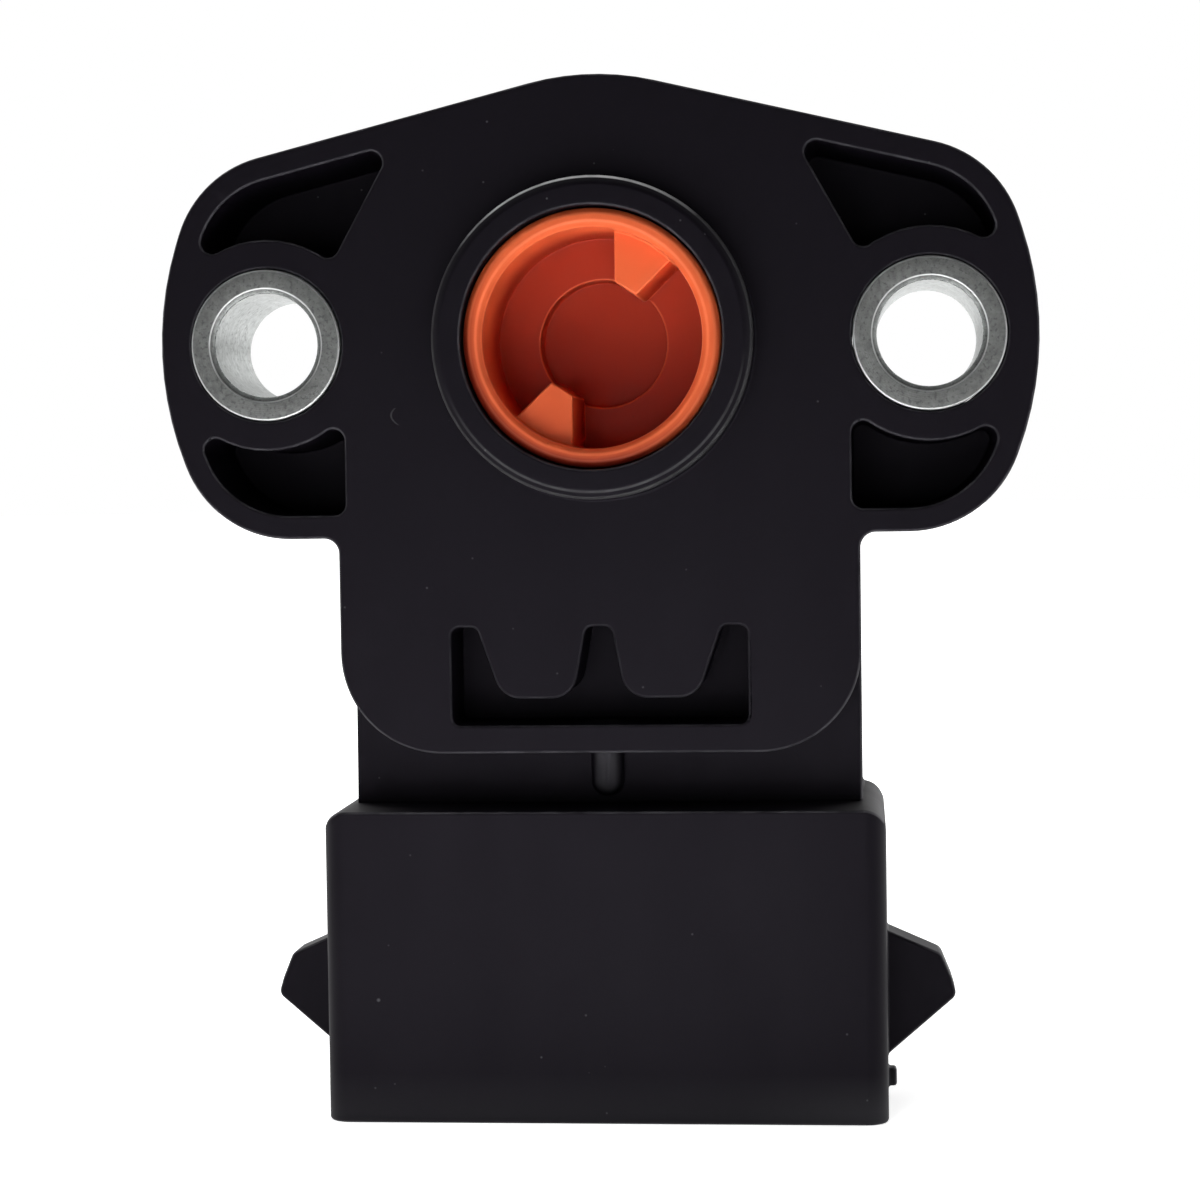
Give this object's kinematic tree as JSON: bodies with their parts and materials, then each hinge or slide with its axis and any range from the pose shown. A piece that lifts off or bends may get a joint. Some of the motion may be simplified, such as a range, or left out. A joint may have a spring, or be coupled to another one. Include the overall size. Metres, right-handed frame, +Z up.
{
  "type": "throttle position sensor",
  "caption": "Flanged rotary position sensor with a sprung orange drive cup, two metal mounting sleeves and a plug shroud below.",
  "frame": {"origin": "on the rotor's axis, in the plane of the two mounting sleeves' front ends, which seat on the throttle body", "axes": "-Y out of the face towards the throttle body, along the rotor's axis; +Z up, away from the plug; +X to the right as the face is seen, along the line of the two sleeves"},
  "size_m": [0.0464, 0.0192, 0.0554],
  "materials": {
    "housing_plastic": "fine matte moulded grain",
    "cover_plastic": "fine matte moulded grain",
    "rotor_plastic": "smooth satin moulding",
    "sleeve_metal": "turned, speckled grey plating",
    "seal_rubber": "smooth rubber",
    "spring_steel": "drawn wire and stamped strip",
    "contact_bronze": "stamped spring bronze",
    "terminal_brass": "stamped and lightly tinned",
    "board_ceramic": "fired white ceramic",
    "track_ink": "printed resistive ink",
    "trace_silver": "printed silver ink",
    "sealant": "cured glossy sealing compound"
  },
  "bodies": {
    "housing": {"housing": "housing_plastic", "mounting_sleeve_left": "sleeve_metal", "mounting_sleeve_right": "sleeve_metal", "rotor_seal": "seal_rubber", "return_spring": "spring_steel", "thrust_washer": "spring_steel", "resistor_board": "board_ceramic", "resistor_track": "track_ink", "collector_track": "trace_silver", "conductor_traces": "trace_silver", "terminal_left": "terminal_brass", "terminal_centre": "terminal_brass", "terminal_right": "terminal_brass", "contact_spring_left": "contact_bronze", "contact_spring_centre": "contact_bronze", "contact_spring_right": "contact_bronze", "back_cover": "cover_plastic", "cover_sealant": "sealant"},
    "rotor": {"rotor": "rotor_plastic", "wiper": "contact_bronze"}
  },
  "joints": [
    {"name": "rotor_turn", "type": "hinge", "parent": "housing", "child": "rotor", "pos_m": [0, 0, 0], "axis": [0, 1, 0], "range_deg": [0, 105], "stiffness_Nm_per_rad": 0.012, "springref_deg": -85.94, "deforming": ["return_spring"]}
  ]
}
